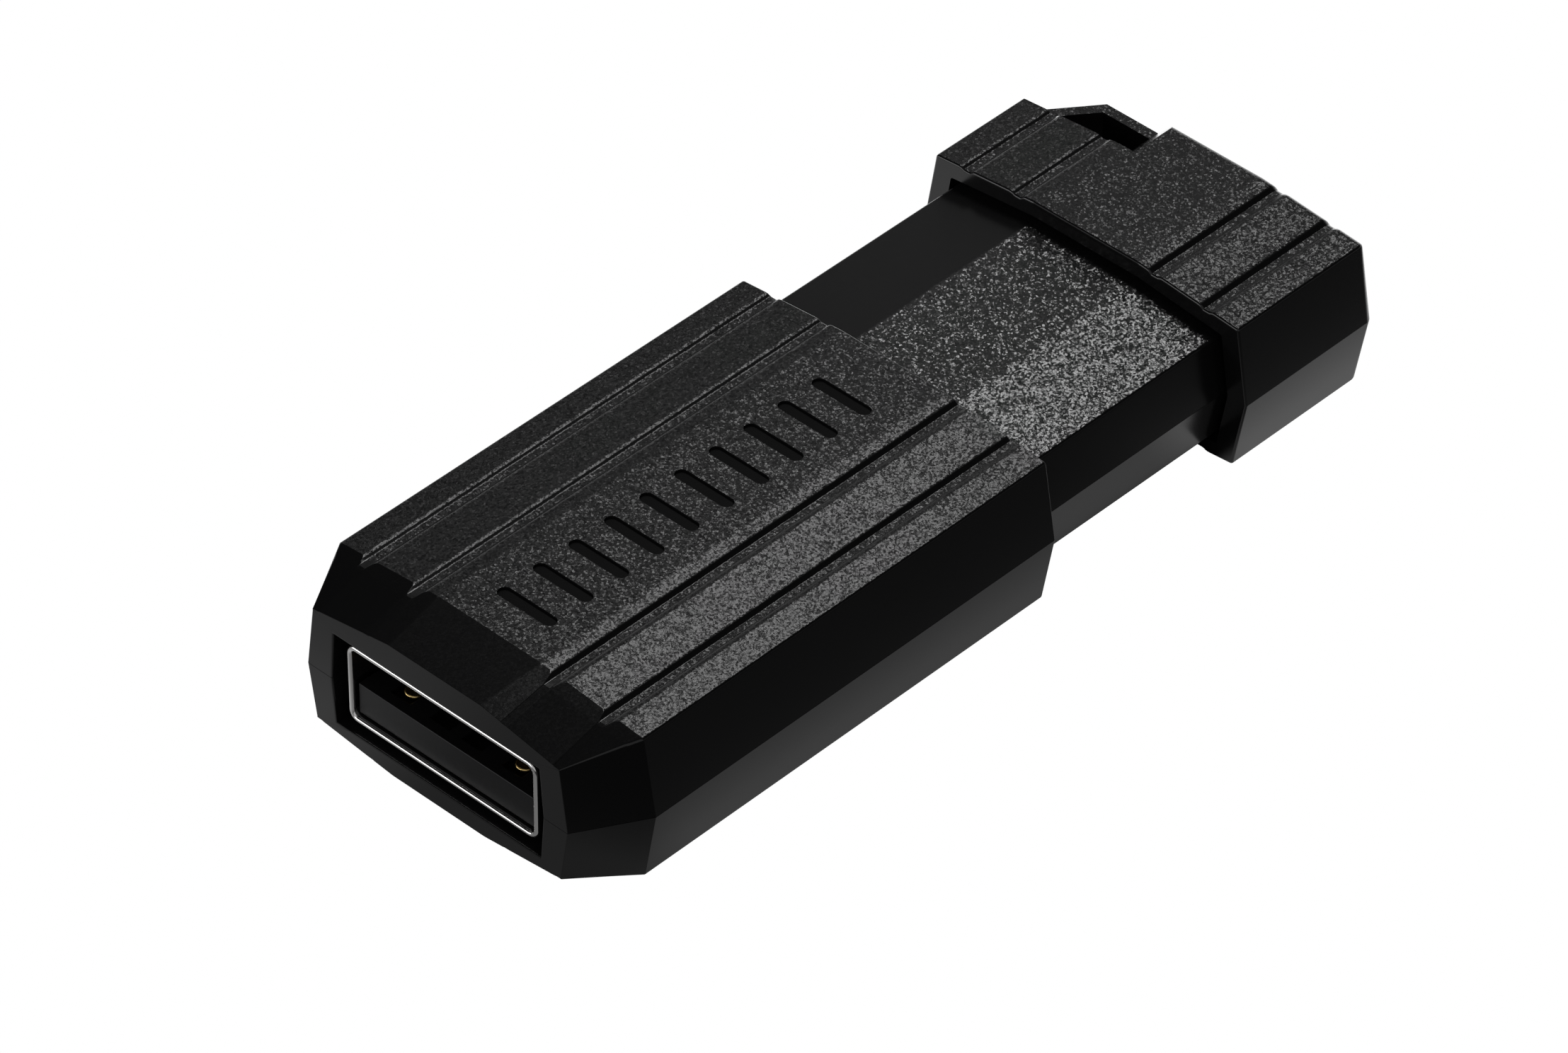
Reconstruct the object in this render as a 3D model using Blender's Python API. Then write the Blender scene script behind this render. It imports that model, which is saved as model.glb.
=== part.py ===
"""A USB flash drive whose plug slides out of a short sleeve.

Units are metres, +Z is up. The plug points along -Y and the grip with its keyring bar is at +Y.
The shapes are drawn in a design frame, whose origin is the middle of the sleeve's front face.
Two empties carry that frame to its place, so that the part's own origin lies under its middle.
"""

import math
from collections import namedtuple

import bmesh
import bpy
from mathutils import Matrix, Vector

# Overall
OVERALL_LENGTH = 0.05177
SLEEVE_LENGTH = 0.02950
GRIP_FRONT = 0.04263
NOSE_LENGTH = 0.00345
PARTING_Z = -0.00010
FAR = 0.1  # past every part
SEAM_HALF_GAP = 0.00015
CUT_MARGIN = 0.002

# A casing's cross-section is a ten-sided outline: a flat middle panel and two sloping side panels
# above, the same below, and sides that meet in a shallow V at the parting line.
Section = namedtuple("Section", "panel_half shoulder_half waist_half roof shoulder foot floor")
BODY = Section(0.00325, 0.00952, 0.01022, 0.00465, 0.00409, -0.00401, -0.00457)
NOSE = Section(0.00290, 0.00772, 0.00818, 0.00416, 0.00338, -0.00310, -0.00362)
CORE = Section(0.00325, 0.00823, 0.00877, 0.00350, 0.00296, -0.00296, -0.00350)

# Sleeve
SLIDE_CLEARANCE = 0.00028
NOSE_WALL = 0.00120
NOSE_BORE_INSET = 0.00050
BORE_FULL_FROM = 0.00245
MOUTH_HALF_WIDTH = 0.00645
MOUTH_WAIST_HALF = 0.00665
MOUTH_HALF_HEIGHT = 0.00262
PINSTRIPE_CENTRES = (0.00431, 0.00754)
PINSTRIPE_HALF_WIDTH = 0.00038
PINSTRIPE_FLOOR_HALF = 0.00019
PINSTRIPE_DEPTH = 0.000135
PINSTRIPE_START = 0.00250
PINSTRIPE_RAMP = 0.00150
THUMB_BAR_COUNT = 10
THUMB_BAR_START = 0.00570
THUMB_BAR_PITCH = 0.00225
THUMB_BAR_X = (-0.00130, 0.00150)
THUMB_BAR_RADIUS = 0.00036
THUMB_BAR_DEPTH = 0.00012
TRAVEL = 0.01290

# Travel stops: a lug on each slider shell runs in a blind slot inside each sleeve shell.
LUG_X = 0.00590
LUG_HALF_WIDTH = 0.00075
LUG_FRONT = 0.01700
LUG_LENGTH = 0.00200
LUG_HEIGHT = 0.00045
SLOT_SIDE_GAP = 0.00030
SLOT_END_GAP = 0.00035
SLOT_ROOF_GAP = 0.00022
SLOT_ROOT = 0.8  # where a slot's cut starts, as a share of the core's shoulder height
LUG_ROOT = 0.7  # how deep a lug sits in the core's wall, as a share of the wall

# Slider
CORE_FRONT = 0.01550
CORE_REAR = 0.04720
CORE_WALL = 0.00080
CORE_END_WALL = 0.00090
PLUG_WINDOW_GAP = 0.00030
LEDGE_INNER_X = 0.00620
LEDGE_OUTER_X = 0.00790
LEDGE_FRONT = 0.02350
LEDGE_REAR = 0.04550
HOLD_DOWN_STARTS = (0.0265, 0.0345, 0.0425)
HOLD_DOWN_LENGTH = 0.0015
POST_X = 0.00590
POST_Y = 0.02240
POST_RADIUS = 0.00060
POST_TOP = 0.00030

# Plug
PLUG_WIDTH = 0.0120
PLUG_HEIGHT = 0.0045
PLUG_SHEET = 0.00030
PLUG_CORNER_RADIUS = 0.00060
PLUG_FRONT = 0.00030
PLUG_REAR = 0.01830
PLUG_WINDOW_X = 0.00256
PLUG_WINDOW_Y = 0.00670
PLUG_WINDOW_WIDTH = 0.00250
PLUG_WINDOW_LENGTH = 0.00220
LEG_REAR = 0.02000
LEG_OVERLAP = 0.00080
LEG_SHOULDER = -0.00140
LEG_BOTTOM = -0.00220
LEG_TOP = 0.00060
INSULATOR_HALF_WIDTH = 0.00555
INSULATOR_HALF_HEIGHT = 0.00183
TONGUE_FRONT = 0.00060
TONGUE_TOP = -0.00010
BLOCK_FRONT = 0.01260
CONTACT_X = {
    "contact_power": 0.00350,
    "contact_data_minus": 0.00100,
    "contact_data_plus": -0.00100,
    "contact_ground": -0.00350,
}
LONG_CONTACT_FRONT = 0.00160
SHORT_CONTACT_FRONT = 0.00260
CONTACT_WIDTH = 0.00100
CONTACT_TOP = -0.00018
CONTACT_BOTTOM = -0.00040
CONTACT_REAR = 0.02010
CHANNEL_HALF_WIDTH = 0.00062
CHANNEL_FLOOR = -0.00050
CHANNEL_ROOF = 0.00003
CHANNEL_START = 0.00120

# Circuit board and what is soldered to it
BOARD_TOP = -0.00050
BOARD_THICKNESS = 0.00080
BOARD_GAP = 0.00015
BOARD_TAB_FRONT = 0.01860
BOARD_TAB_HALF = 0.00530
BOARD_SHOULDER = 0.02040
BOARD_HALF_WIDTH = 0.00710
BOARD_REAR = 0.04620
BOARD_HOLE_RADIUS = 0.00090
STANDOFF = 0.00010
FLASH_SIZE = (0.0120, 0.0184, 0.0010)
FLASH_CENTRE_Y = 0.03460
FLASH_PINS_PER_END = 24
FLASH_PITCH = 0.00050
CONTROLLER_SIZE = (0.0070, 0.0070, 0.0009)
CONTROLLER_CENTRE_Y = 0.02950
CONTROLLER_PINS_PER_SIDE = 8
CONTROLLER_PITCH = 0.00080
LEAD_REACH = 0.00085
LEAD_THICKNESS = 0.00012
LEAD_ROOT = 0.00015
LEAD_BEND = 0.00030
LEAD_FOOT_GAP = 0.000024
FLASH_LEAD_WIDTH = 0.00020
CONTROLLER_LEAD_WIDTH = 0.00030
CRYSTAL_SIZE = (0.0032, 0.0025, 0.0008)
CRYSTAL_CENTRE = (0.0, 0.0225)
BULK_CAPACITOR_SIZE = (0.0032, 0.0016, 0.0015)
BULK_CAPACITOR_CENTRE = (-0.0036, 0.0226)
FERRITE_SIZE = (0.0016, 0.0008, 0.0008)
FERRITE_CENTRE = (0.0035, 0.0216)
CHIP_CAPACITOR_SIZE = (0.0016, 0.0008, 0.0008)
CHIP_CAPACITOR_CENTRES = ((0.0054, 0.0255), (-0.0054, 0.0255), (0.0054, 0.0335), (-0.0054, 0.0335))
CHIP_RESISTOR_SIZE = (0.0016, 0.0008, 0.00045)
CHIP_RESISTOR_CENTRES = ((-0.0026, 0.0365), (0.0, 0.0365), (0.0026, 0.0365), (0.0036, 0.0412))

# Rear grip
GRIP_CAVITY_REAR = 0.04750
GRIP_POCKET = (-0.0010, 0.0070, 0.05040)
POCKET_SHARE = 0.9
GRIP_FRONT_BEVEL = 0.00025
GRIP_REAR_BEVEL = 0.00038
GRIP_CLEARANCE = 0.00030
NOTCH_FRONT = 0.04875
NOTCH_TOP_X = -0.00240
NOTCH_FLOOR_X = -0.00356
NOTCH_RISE = 0.00400
BAR_TOP = 0.00348
BAR_BOTTOM = -0.00340
BAR_THICKNESS = 0.00060
BAR_CORNER_X = -0.00682
BAR_SIDE_X = -0.00920
CATCH_HALF_WIDTH = 0.0020
CATCH_FRONT = 0.04480
CATCH_LENGTH = 0.0010
CATCH_HEIGHT = 0.00045
CATCH_GAP = 0.00028

# Colour, roughness and metallic value of each finish
BLACK_ABS = ((0.012, 0.012, 0.013), 0.45, 0.0)
NICKEL = ((0.78, 0.77, 0.74), 0.22, 1.0)
GOLD = ((0.85, 0.62, 0.25), 0.25, 1.0)
BLACK_NYLON = ((0.02, 0.02, 0.022), 0.55, 0.0)
GREEN_BOARD = ((0.02, 0.16, 0.07), 0.40, 0.0)
CHIP_EPOXY = ((0.03, 0.03, 0.032), 0.60, 0.0)
TIN = ((0.70, 0.70, 0.70), 0.35, 1.0)
CERAMIC = ((0.45, 0.33, 0.22), 0.50, 0.0)
FERRITE = ((0.14, 0.14, 0.15), 0.60, 0.0)


# ---- scene ----------------------------------------------------------------------------------


def clear_scene():
    for obj in list(bpy.data.objects):
        bpy.data.objects.remove(obj, do_unlink=True)


def new_collection(name):
    collection = bpy.data.collections.new(name)
    bpy.context.scene.collection.children.link(collection)
    return collection


def new_frame(name):
    """An empty at the design frame's place in the part frame; it lies on the plug's centre line."""
    empty = bpy.data.objects.new(name, None)
    empty.location = (0.0, -OVERALL_LENGTH / 2, -BODY.floor)
    PARTS.objects.link(empty)
    return empty


def new_object(name, mesh, collection, frame):
    obj = bpy.data.objects.new(name, mesh)
    obj.parent = frame
    collection.objects.link(obj)
    return obj


def finish_material(name, finish):
    colour, roughness, metallic = finish
    material = bpy.data.materials.new(name)
    material.use_nodes = True
    shader = material.node_tree.nodes["Principled BSDF"]
    shader.inputs["Base Color"].default_value = (*colour, 1.0)
    shader.inputs["Roughness"].default_value = roughness
    shader.inputs["Metallic"].default_value = metallic
    return material


def part(name, bm, finish, frame):
    """A node of the finished part."""
    mesh = bpy.data.meshes.new(name)
    bm.to_mesh(mesh)
    bm.free()
    mesh.materials.append(finish_material(name, finish))
    return new_object(name, mesh, PARTS, frame)


def cutter(name, bm, frame):
    """A helper that only shapes other objects."""
    mesh = bpy.data.meshes.new(name)
    bm.to_mesh(mesh)
    bm.free()
    obj = new_object(name, mesh, CUTTERS, frame)
    obj.hide_render = True
    obj.display_type = "WIRE"
    return obj


def shape(obj, *tools, operation="DIFFERENCE"):
    for tool in tools:
        modifier = obj.modifiers.new(tool.name, "BOOLEAN")
        modifier.operation = operation
        modifier.solver = "EXACT"
        modifier.object = tool


# ---- shapes ---------------------------------------------------------------------------------


def section_points(section):
    """The ten corners of a casing outline in X and Z, going round from the top right."""
    right = [
        (section.panel_half, section.roof),
        (section.shoulder_half, section.shoulder),
        (section.waist_half, PARTING_Z),
        (section.shoulder_half, section.foot),
        (section.panel_half, section.floor),
    ]
    return right + [(-x, z) for x, z in reversed(right)]


def grown(section, amount):
    """The outline moved outwards by amount, or inwards where it is negative."""
    return Section(
        section.panel_half,
        section.shoulder_half + amount,
        section.waist_half + amount,
        section.roof + amount,
        section.shoulder + amount,
        section.foot - amount,
        section.floor - amount,
    )


def loft(bm, rings):
    """Adds a closed solid through outlines with the same number of corners, each (y, points)."""
    loops = [[bm.verts.new((x, y, z)) for x, z in points] for y, points in rings]
    for near, far in zip(loops, loops[1:]):
        for i, corner in enumerate(near):
            j = (i + 1) % len(near)
            bm.faces.new((corner, near[j], far[j], far[i]))
    bm.faces.new(loops[0])
    bm.faces.new(reversed(loops[-1]))
    bmesh.ops.recalc_face_normals(bm, faces=bm.faces)
    return bm


def prism_y(bm, points, y_low, y_high):
    """Adds an outline in X and Z, extruded along Y."""
    return loft(bm, [(y_low, points), (y_high, points)])


def plate_z(bm, points, z_low, z_high):
    """Adds an outline in X and Y, extruded along Z."""
    base = bm.faces.new([bm.verts.new((x, y, z_low)) for x, y in points])
    extruded = bmesh.ops.extrude_face_region(bm, geom=[base])["geom"]
    top = [item for item in extruded if isinstance(item, bmesh.types.BMVert)]
    bmesh.ops.translate(bm, verts=top, vec=(0.0, 0.0, z_high - z_low))
    bmesh.ops.recalc_face_normals(bm, faces=bm.faces)
    return bm


def plate_x(bm, points, x_low, x_high):
    """Adds an outline in Y and Z, extruded along X."""
    base = bm.faces.new([bm.verts.new((x_low, y, z)) for y, z in points])
    moved = bmesh.ops.extrude_face_region(bm, geom=[base])["geom"]
    far = [item for item in moved if isinstance(item, bmesh.types.BMVert)]
    bmesh.ops.translate(bm, verts=far, vec=(x_high - x_low, 0.0, 0.0))
    bmesh.ops.recalc_face_normals(bm, faces=bm.faces)
    return bm


def box(bm, x_range, y_range, z_range):
    """Adds a box between two corners."""
    low = Vector((x_range[0], y_range[0], z_range[0]))
    high = Vector((x_range[1], y_range[1], z_range[1]))
    place = Matrix.Translation((low + high) / 2) @ Matrix.Diagonal((*(high - low), 1.0))
    bmesh.ops.create_cube(bm, size=1.0, matrix=place)
    return bm


def rod_z(bm, radius, centre, z_low, z_high, segments=20):
    """Adds an upright cylinder."""
    place = Matrix.Translation((centre[0], centre[1], (z_low + z_high) / 2))
    bmesh.ops.create_cone(
        bm, cap_ends=True, segments=segments, radius1=radius, radius2=radius,
        depth=z_high - z_low, matrix=place,
    )
    return bm


def rounded_rectangle(half_width, half_height, radius, steps=4):
    """Corners of a rectangle with round corners, in X and Z."""
    points = []
    for quarter, (sx, sz) in enumerate(((1, 1), (-1, 1), (-1, -1), (1, -1))):
        for step in range(steps + 1):
            angle = math.radians(90 * quarter + 90 * step / steps)
            x = sx * (half_width - radius) + radius * math.cos(angle)
            z = sz * (half_height - radius) + radius * math.sin(angle)
            points.append((x, z))
    return points


def panel_height(section, x, side):
    """Height of the top (side 1) or bottom (side -1) face of a casing at x."""
    level, edge = (section.roof, section.shoulder) if side > 0 else (section.floor, section.foot)
    run = max(0.0, abs(x) - section.panel_half) / (section.shoulder_half - section.panel_half)
    return level + (edge - level) * run


# ---- cutters shared by the casings -----------------------------------------------------------


def pinstripes(name, frame, y_low, y_high, ramp):
    """Eight long shallow grooves, four above and four below; ramp is the run-out at the front."""
    bm = bmesh.new()
    for side in (1, -1):
        for centre in PINSTRIPE_CENTRES:
            for x in (-centre, centre):
                surface = panel_height(BODY, x, side)
                above = surface + side * CUT_MARGIN / 4
                floor = surface - side * PINSTRIPE_DEPTH
                flare = (PINSTRIPE_HALF_WIDTH - PINSTRIPE_FLOOR_HALF) / PINSTRIPE_DEPTH
                spread = PINSTRIPE_HALF_WIDTH + flare * CUT_MARGIN / 4
                deep = [
                    (x - spread, above),
                    (x + spread, above),
                    (x + PINSTRIPE_FLOOR_HALF, floor),
                    (x - PINSTRIPE_FLOOR_HALF, floor),
                ]
                shallow = [(px, pz + side * 2 * PINSTRIPE_DEPTH) for px, pz in deep]
                rings = [(y_low, shallow), (y_low + ramp, deep), (y_high, deep)]
                loft(bm, rings if ramp else rings[1:])
    return cutter(name, bm, frame)


def half_space(name, frame, side):
    """Everything on one side of the parting line, past the seam."""
    edge = PARTING_Z + side * SEAM_HALF_GAP
    z_range = (edge - FAR, edge) if side > 0 else (edge, edge + FAR)
    return cutter(name, box(bmesh.new(), (-FAR, FAR), (-FAR, FAR), z_range), frame)


# ---- sleeve -----------------------------------------------------------------------------------


def sleeve_slots(frame):
    """Blind slots for the travel lugs, a little longer than the lugs' stroke."""
    bm = bmesh.new()
    front = LUG_FRONT - TRAVEL - SLOT_END_GAP
    rear = LUG_FRONT + LUG_LENGTH + SLOT_END_GAP
    reach = LUG_HALF_WIDTH + SLOT_SIDE_GAP
    for side in (1, -1):
        crest = panel_height(CORE, LUG_X, side) + side * (LUG_HEIGHT + SLOT_ROOF_GAP)
        for x in (-LUG_X, LUG_X):
            z_range = sorted((crest, side * CORE.shoulder * SLOT_ROOT))
            box(bm, (x - reach, x + reach), (front, rear), z_range)
    return cutter("cut_guide_slots", bm, frame)


def thumb_bars(frame):
    """A row of shallow round-ended recesses for the thumb, on the upper shell's middle panel."""
    bm = bmesh.new()
    steps = 6
    for number in range(THUMB_BAR_COUNT):
        y = THUMB_BAR_START + THUMB_BAR_PITCH * number
        outline = []
        for x, start in zip(THUMB_BAR_X, (math.pi / 2, -math.pi / 2)):
            for step in range(steps + 1):
                angle = start + math.pi * step / steps
                across, along = THUMB_BAR_RADIUS * math.cos(angle), THUMB_BAR_RADIUS * math.sin(angle)
                outline.append((x + across, y + along))
        plate_z(bm, outline, BODY.roof - THUMB_BAR_DEPTH, BODY.roof + CUT_MARGIN)
    return cutter("cut_thumb_bars", bm, frame)


def build_sleeve(frame):
    outer = [
        (0.0, section_points(NOSE)),
        (NOSE_LENGTH, section_points(BODY)),
        (SLEEVE_LENGTH, section_points(BODY)),
    ]
    bore = section_points(grown(CORE, SLIDE_CLEARANCE))
    bore_rings = [
        (NOSE_WALL, section_points(grown(NOSE, -NOSE_BORE_INSET))),
        (BORE_FULL_FROM, bore),
        (SLEEVE_LENGTH + CUT_MARGIN, bore),
    ]
    bore_cut = loft(bmesh.new(), bore_rings)
    mouth = [
        (MOUTH_HALF_WIDTH, MOUTH_HALF_HEIGHT),
        (MOUTH_WAIST_HALF, PARTING_Z),
        (MOUTH_HALF_WIDTH, -MOUTH_HALF_HEIGHT),
    ]
    mouth += [(-x, z) for x, z in reversed(mouth)]
    tools = [
        cutter("cut_sleeve_bore", bore_cut, frame),
        cutter("cut_mouth", prism_y(bmesh.new(), mouth, -CUT_MARGIN, NOSE_WALL + CUT_MARGIN), frame),
        pinstripes(
            "cut_sleeve_pinstripes", frame, PINSTRIPE_START, SLEEVE_LENGTH + CUT_MARGIN, PINSTRIPE_RAMP
        ),
        sleeve_slots(frame),
    ]
    for name, side in (("sleeve_upper_shell", 1), ("sleeve_lower_shell", -1)):
        shell = part(name, loft(bmesh.new(), outer), BLACK_ABS, frame)
        bars = [thumb_bars(frame)] if side > 0 else []
        shape(shell, *tools, *bars, half_space("cut_" + name, frame, side))


# ---- slider casing ----------------------------------------------------------------------------


def slider_features(name, frame, side):
    """Lugs, catches and board supports that stand on one slider shell."""
    bm = bmesh.new()
    inner = grown(CORE, -CORE_WALL)
    for x in (-LUG_X, LUG_X):
        crest = panel_height(CORE, x, side)
        z_range = sorted((crest + side * LUG_HEIGHT, crest - side * CORE_WALL * LUG_ROOT))
        box(bm, (x - LUG_HALF_WIDTH, x + LUG_HALF_WIDTH), (LUG_FRONT, LUG_FRONT + LUG_LENGTH), z_range)
    crest = panel_height(CORE, 0.0, side)
    z_range = sorted((crest + side * CATCH_HEIGHT, crest - side * CORE_WALL * LUG_ROOT))
    box(bm, (-CATCH_HALF_WIDTH, CATCH_HALF_WIDTH), (CATCH_FRONT, CATCH_FRONT + CATCH_LENGTH), z_range)
    for hand in (-1, 1):
        x_range = sorted((hand * LEDGE_INNER_X, hand * LEDGE_OUTER_X))
        if side > 0:
            for start in HOLD_DOWN_STARTS:
                z_range = (BOARD_TOP + BOARD_GAP, inner.shoulder + CORE_WALL / 2)
                box(bm, x_range, (start, start + HOLD_DOWN_LENGTH), z_range)
        else:
            board_bottom = BOARD_TOP - BOARD_THICKNESS
            z_range = (inner.foot - CORE_WALL / 2, board_bottom - BOARD_GAP)
            box(bm, x_range, (LEDGE_FRONT, LEDGE_REAR), z_range)
            floor = panel_height(CORE, POST_X, side) + CORE_WALL / 2
            rod_z(bm, POST_RADIUS, (hand * POST_X, POST_Y), floor, POST_TOP)
    return cutter(name, bm, frame)


def build_slider_casing(frame):
    outer = section_points(CORE)
    inner = section_points(grown(CORE, -CORE_WALL))
    hollow = prism_y(bmesh.new(), inner, CORE_FRONT + CORE_END_WALL, CORE_REAR - CORE_END_WALL)
    window = rounded_rectangle(
        PLUG_WIDTH / 2 + PLUG_WINDOW_GAP, PLUG_HEIGHT / 2 + PLUG_WINDOW_GAP, PLUG_CORNER_RADIUS,
    )
    window_cut = prism_y(
        bmesh.new(), window, CORE_FRONT - CUT_MARGIN, CORE_FRONT + CORE_END_WALL + CUT_MARGIN / 2,
    )
    hollow_tool = cutter("cut_slider_hollow", hollow, frame)
    window_tool = cutter("cut_plug_window", window_cut, frame)
    for name, side in (("slider_upper_shell", 1), ("slider_lower_shell", -1)):
        shell = part(name, prism_y(bmesh.new(), outer, CORE_FRONT, CORE_REAR), BLACK_ABS, frame)
        shape(shell, hollow_tool, window_tool, half_space("cut_" + name, frame, side))
        shape(shell, slider_features("add_to_" + name, frame, side), operation="UNION")


# ---- rear grip --------------------------------------------------------------------------------


def build_rear_grip(frame):
    """A cap pushed over the slider's tail, with a keyring bar across its notched rear corner."""
    rings = [
        (GRIP_FRONT, section_points(grown(BODY, -GRIP_FRONT_BEVEL))),
        (GRIP_FRONT + GRIP_FRONT_BEVEL, section_points(BODY)),
        (OVERALL_LENGTH - GRIP_REAR_BEVEL, section_points(BODY)),
        (OVERALL_LENGTH, section_points(grown(BODY, -GRIP_REAR_BEVEL))),
    ]
    grip = part("rear_grip", loft(bmesh.new(), rings), BLACK_ABS, frame)
    back = OVERALL_LENGTH + CUT_MARGIN
    socket = section_points(grown(CORE, GRIP_CLEARANCE))
    cavity = prism_y(bmesh.new(), socket, GRIP_FRONT - CUT_MARGIN, GRIP_CAVITY_REAR)
    pocket = box(
        bmesh.new(), GRIP_POCKET[:2], (GRIP_CAVITY_REAR - CUT_MARGIN, GRIP_POCKET[2]),
        (CORE.foot * POCKET_SHARE, CORE.shoulder * POCKET_SHARE),
    )
    catches = bmesh.new()
    for side in (1, -1):
        crest = panel_height(CORE, 0.0, side)
        z_range = sorted((crest + side * (CATCH_HEIGHT + CATCH_GAP), crest - side * CATCH_GAP))
        reach_x = CATCH_HALF_WIDTH + CATCH_GAP
        y_range = (CATCH_FRONT - CATCH_GAP, CATCH_FRONT + CATCH_LENGTH + CATCH_GAP)
        box(catches, (-reach_x, reach_x), y_range, z_range)
    notches = bmesh.new()
    slope = (NOTCH_TOP_X - NOTCH_FLOOR_X) / (BODY.roof - BAR_TOP)
    for level, side in ((BAR_TOP, 1), (BAR_BOTTOM, -1)):
        outline = [
            (-FAR, level),
            (NOTCH_FLOOR_X, level),
            (NOTCH_FLOOR_X + slope * NOTCH_RISE, level + side * NOTCH_RISE),
            (-FAR, level + side * NOTCH_RISE),
        ]
        prism_y(notches, outline, NOTCH_FRONT, back)
    run = (OVERALL_LENGTH - NOTCH_FRONT) / (BAR_CORNER_X - BAR_SIDE_X)
    corner = [
        (BAR_CORNER_X + CUT_MARGIN, OVERALL_LENGTH + CUT_MARGIN * run),
        (BAR_SIDE_X, NOTCH_FRONT),
        (-FAR, NOTCH_FRONT),
        (-FAR, back + FAR),
    ]
    bar_inner_y = OVERALL_LENGTH - BAR_THICKNESS
    slant = BAR_THICKNESS * math.hypot(1.0, run) / run
    slot = [
        (BAR_SIDE_X + slant, NOTCH_FRONT),
        (BAR_SIDE_X + slant + (bar_inner_y - NOTCH_FRONT) / run, bar_inner_y),
        (NOTCH_FLOOR_X, bar_inner_y),
        (NOTCH_FLOOR_X, NOTCH_FRONT),
    ]
    shape(
        grip,
        cutter("cut_grip_socket", cavity, frame),
        cutter("cut_grip_pocket", pocket, frame),
        cutter("cut_grip_catches", catches, frame),
        pinstripes("cut_grip_pinstripes", frame, GRIP_FRONT - CUT_MARGIN, back, 0.0),
        cutter("cut_grip_notches", notches, frame),
        cutter("cut_grip_corner", plate_z(bmesh.new(), corner, -FAR, FAR), frame),
        cutter("cut_keyring_slot", plate_z(bmesh.new(), slot, -FAR, FAR), frame),
    )


# ---- plug -------------------------------------------------------------------------------------


def build_plug_shell(frame):
    half_width, half_height = PLUG_WIDTH / 2, PLUG_HEIGHT / 2
    outer = rounded_rectangle(half_width, half_height, PLUG_CORNER_RADIUS)
    inner = rounded_rectangle(
        half_width - PLUG_SHEET, half_height - PLUG_SHEET, PLUG_CORNER_RADIUS - PLUG_SHEET,
    )
    shell = part("plug_shell", prism_y(bmesh.new(), outer, PLUG_FRONT, PLUG_REAR), NICKEL, frame)
    bore = prism_y(bmesh.new(), inner, PLUG_FRONT - CUT_MARGIN, PLUG_REAR + CUT_MARGIN)
    windows = bmesh.new()
    for x in (-PLUG_WINDOW_X, PLUG_WINDOW_X):
        x_range = (x - PLUG_WINDOW_WIDTH / 2, x + PLUG_WINDOW_WIDTH / 2)
        y_range = (PLUG_WINDOW_Y - PLUG_WINDOW_LENGTH / 2, PLUG_WINDOW_Y + PLUG_WINDOW_LENGTH / 2)
        box(windows, x_range, y_range, (-PLUG_HEIGHT, PLUG_HEIGHT))
    leg = [
        (PLUG_REAR - LEG_OVERLAP, LEG_TOP),
        (PLUG_REAR - LEG_OVERLAP, LEG_SHOULDER),
        (PLUG_REAR + LEG_OVERLAP / 2, LEG_SHOULDER),
        (PLUG_REAR + LEG_OVERLAP, LEG_BOTTOM),
        (LEG_REAR, LEG_BOTTOM),
        (LEG_REAR, LEG_TOP),
    ]
    legs = bmesh.new()
    for hand in (-1, 1):
        plate_x(legs, leg, *sorted((hand * half_width, hand * (half_width - PLUG_SHEET))))
    shape(shell, cutter("cut_plug_bore", bore, frame), cutter("cut_plug_windows", windows, frame))
    shape(shell, cutter("add_plug_legs", legs, frame), operation="UNION")


def build_plug_insulator(frame):
    """A tongue along the plug's lower half and a block that closes the plug behind it."""
    profile = [
        (TONGUE_FRONT, -INSULATOR_HALF_HEIGHT),
        (PLUG_REAR, -INSULATOR_HALF_HEIGHT),
        (PLUG_REAR, INSULATOR_HALF_HEIGHT),
        (BLOCK_FRONT, INSULATOR_HALF_HEIGHT),
        (BLOCK_FRONT, TONGUE_TOP),
        (TONGUE_FRONT, TONGUE_TOP),
    ]
    bm = plate_x(bmesh.new(), profile, -INSULATOR_HALF_WIDTH, INSULATOR_HALF_WIDTH)
    insulator = part("plug_insulator", bm, BLACK_NYLON, frame)
    channels = bmesh.new()
    for x in CONTACT_X.values():
        channel = (x - CHANNEL_HALF_WIDTH, x + CHANNEL_HALF_WIDTH)
        box(channels, channel, (CHANNEL_START, PLUG_REAR + CUT_MARGIN), (CHANNEL_FLOOR, CHANNEL_ROOF))
    shape(insulator, cutter("cut_contact_channels", channels, frame))


def build_contacts(frame):
    """Four flat springs with round front ends; the outer pair reaches further forward."""
    half = CONTACT_WIDTH / 2
    for name, x in CONTACT_X.items():
        outer_pair = abs(x) > 0.002
        front = LONG_CONTACT_FRONT if outer_pair else SHORT_CONTACT_FRONT
        outline = [(x + half, CONTACT_REAR), (x - half, CONTACT_REAR)]
        for step in range(9):
            angle = math.pi + math.pi * step / 8
            outline.append((x + half * math.cos(angle), front + half + half * math.sin(angle)))
        part(name, plate_z(bmesh.new(), outline, CONTACT_BOTTOM, CONTACT_TOP), GOLD, frame)


# ---- circuit board ----------------------------------------------------------------------------


def build_board(frame):
    right = [
        (BOARD_TAB_HALF, BOARD_TAB_FRONT),
        (BOARD_TAB_HALF, BOARD_SHOULDER),
        (BOARD_HALF_WIDTH, BOARD_SHOULDER),
        (BOARD_HALF_WIDTH, BOARD_REAR),
    ]
    outline = right + [(-x, y) for x, y in reversed(right)]
    board_bottom = BOARD_TOP - BOARD_THICKNESS
    plate = plate_z(bmesh.new(), outline, board_bottom, BOARD_TOP)
    board = part("circuit_board", plate, GREEN_BOARD, frame)
    holes = bmesh.new()
    for x in (-POST_X, POST_X):
        rod_z(holes, BOARD_HOLE_RADIUS, (x, POST_Y), board_bottom - CUT_MARGIN, BOARD_TOP + CUT_MARGIN)
    shape(board, cutter("cut_board_holes", holes, frame))


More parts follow.
